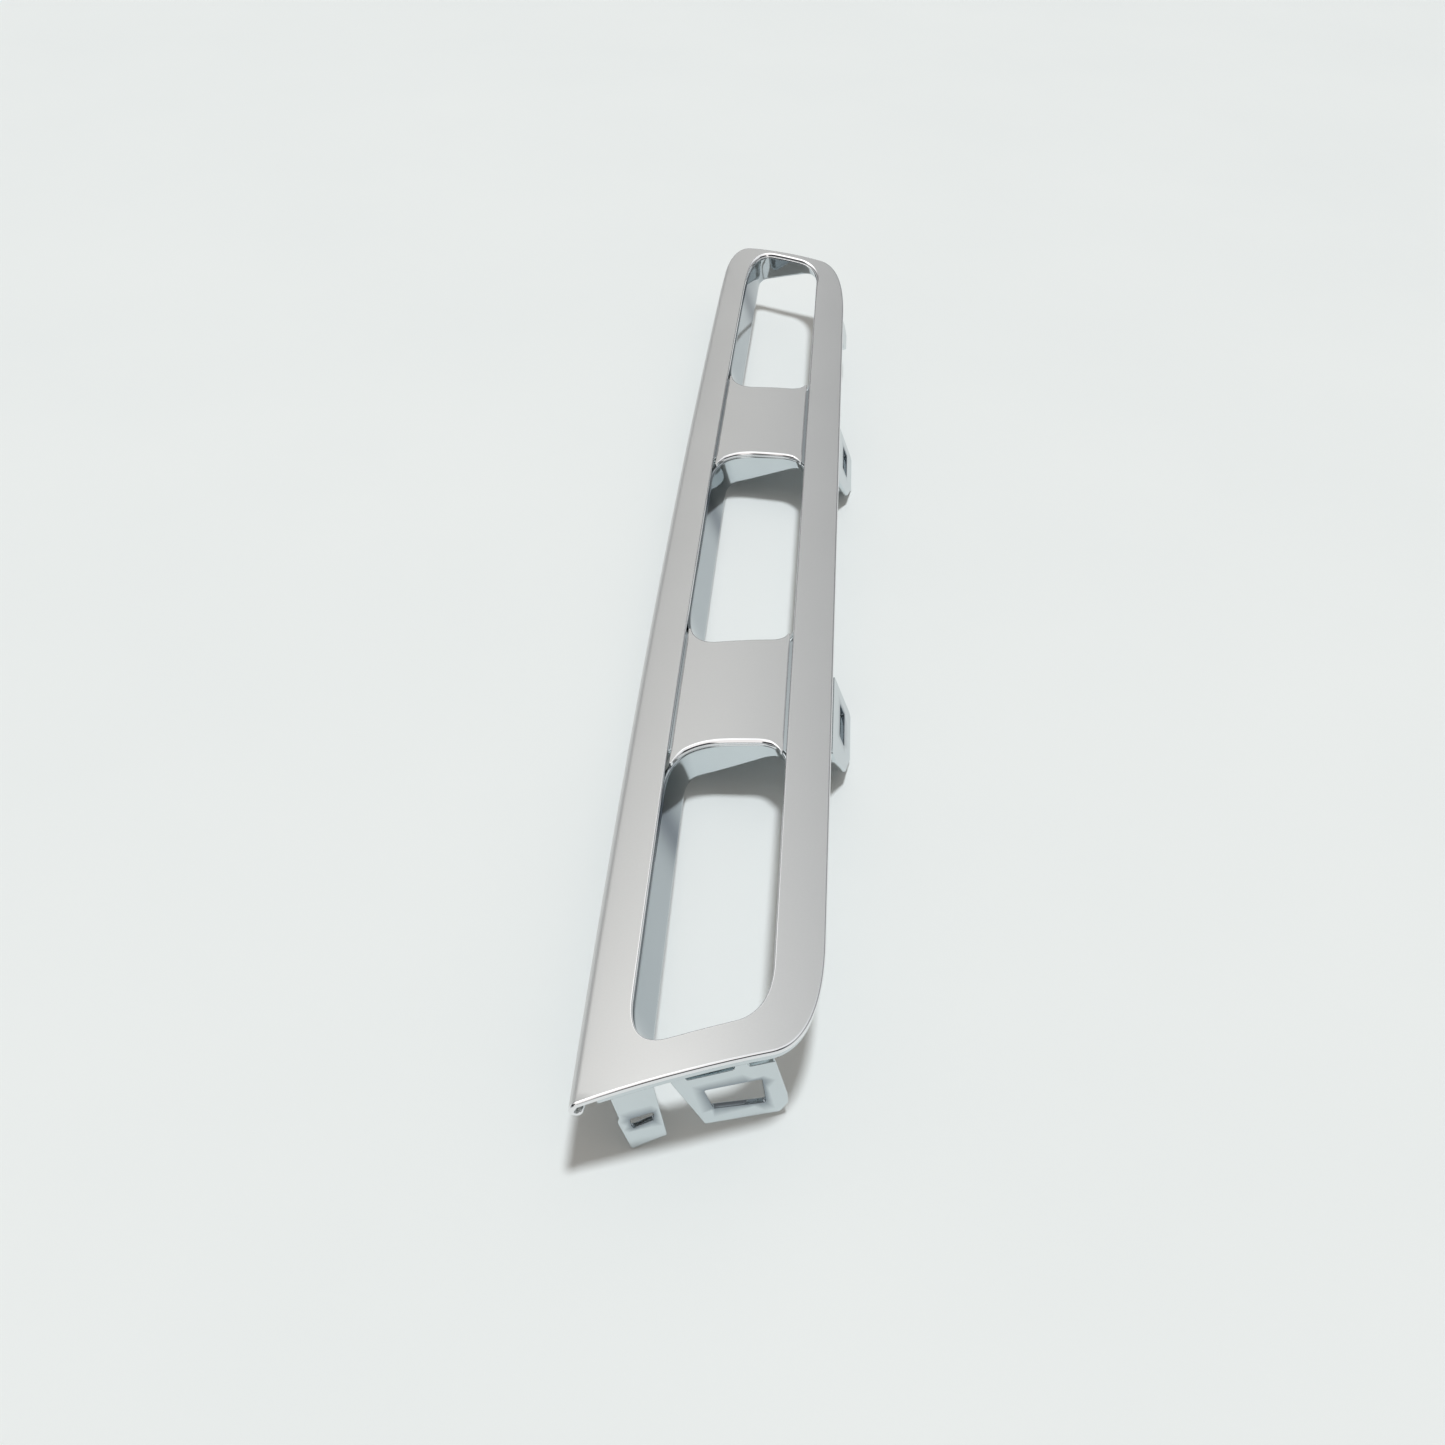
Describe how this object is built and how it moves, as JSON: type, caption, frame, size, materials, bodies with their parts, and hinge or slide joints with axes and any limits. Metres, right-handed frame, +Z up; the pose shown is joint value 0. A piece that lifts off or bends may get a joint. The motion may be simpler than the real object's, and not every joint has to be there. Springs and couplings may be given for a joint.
{
  "type": "trim surround",
  "caption": "Long slim trim surround with a satin face, three windows with bright walls, and sprung snap tabs that clip it into a panel.",
  "frame": {"origin": "on the ground, under the middle of the part as it rests on its tabs", "axes": "+Y along the part to its far end, +Z up out of the satin face, +X across it to the side with the large corner"},
  "size_m": [0.0558, 0.3936, 0.0235],
  "materials": {
    "satin_metal": "satin",
    "bright_metal": "polished"
  },
  "bodies": {
    "surround": {"face_frame": "satin_metal", "bridge_near": "satin_metal", "bridge_far": "satin_metal", "carrier": "bright_metal", "window_liner_near": "bright_metal", "window_liner_middle": "bright_metal", "window_liner_far": "bright_metal"},
    "leg_near": {"snap_leg_near": "bright_metal"},
    "plate_near": {"catch_plate_near": "bright_metal"},
    "tab_right_1": {"snap_tab_right_1": "bright_metal"},
    "tab_right_2": {"snap_tab_right_2": "bright_metal"},
    "tab_left_1": {"snap_tab_left_1": "bright_metal"},
    "tab_left_2": {"snap_tab_left_2": "bright_metal"},
    "lug_right": {"snap_lug_right": "bright_metal"},
    "lug_left": {"snap_lug_left": "bright_metal"}
  },
  "joints": [
    {"name": "leg_near_flex", "type": "hinge", "parent": "surround", "child": "leg_near", "pos_m": [-0.01483, -0.18938, 0.01884], "axis": [0.925, 0.3579, 0.1276], "range_deg": [-3, 5], "stiffness_Nm_per_rad": 0.012},
    {"name": "plate_near_flex", "type": "hinge", "parent": "surround", "child": "plate_near", "pos_m": [-0.0007, -0.18396, 0.01991], "axis": [0.9335, 0.3572, 0.0303], "range_deg": [-3, 5], "stiffness_Nm_per_rad": 0.02},
    {"name": "tab_right_1_flex", "type": "hinge", "parent": "surround", "child": "tab_right_1", "pos_m": [0.02167, -0.07054, 0.01383], "axis": [0.0016, 0.9996, -0.0296], "range_deg": [-3, 5], "stiffness_Nm_per_rad": 0.02},
    {"name": "tab_right_2_flex", "type": "hinge", "parent": "surround", "child": "tab_right_2", "pos_m": [0.02096, 0.06146, 0.01349], "axis": [-0.0011, 0.9997, 0.0236], "range_deg": [-3, 5], "stiffness_Nm_per_rad": 0.02},
    {"name": "tab_left_1_flex", "type": "hinge", "parent": "surround", "child": "tab_left_1", "pos_m": [-0.02087, -0.07054, 0.01165], "axis": [0.0071, -0.9995, 0.0302], "range_deg": [-3, 3], "stiffness_Nm_per_rad": 0.006},
    {"name": "tab_left_2_flex", "type": "hinge", "parent": "surround", "child": "tab_left_2", "pos_m": [-0.0205, 0.06146, 0.01127], "axis": [-0.0126, -0.9996, -0.0245], "range_deg": [-3, 3], "stiffness_Nm_per_rad": 0.006},
    {"name": "lug_right_flex", "type": "hinge", "parent": "surround", "child": "lug_right", "pos_m": [0.02071, 0.14296, 0.01673], "axis": [-0.0025, 0.9984, 0.0563], "range_deg": [-2, 4], "stiffness_Nm_per_rad": 0.001},
    {"name": "lug_left_flex", "type": "hinge", "parent": "surround", "child": "lug_left", "pos_m": [-0.019, 0.14296, 0.01461], "axis": [-0.0244, -0.998, -0.0582], "range_deg": [-2, 3], "stiffness_Nm_per_rad": 0.001}
  ]
}
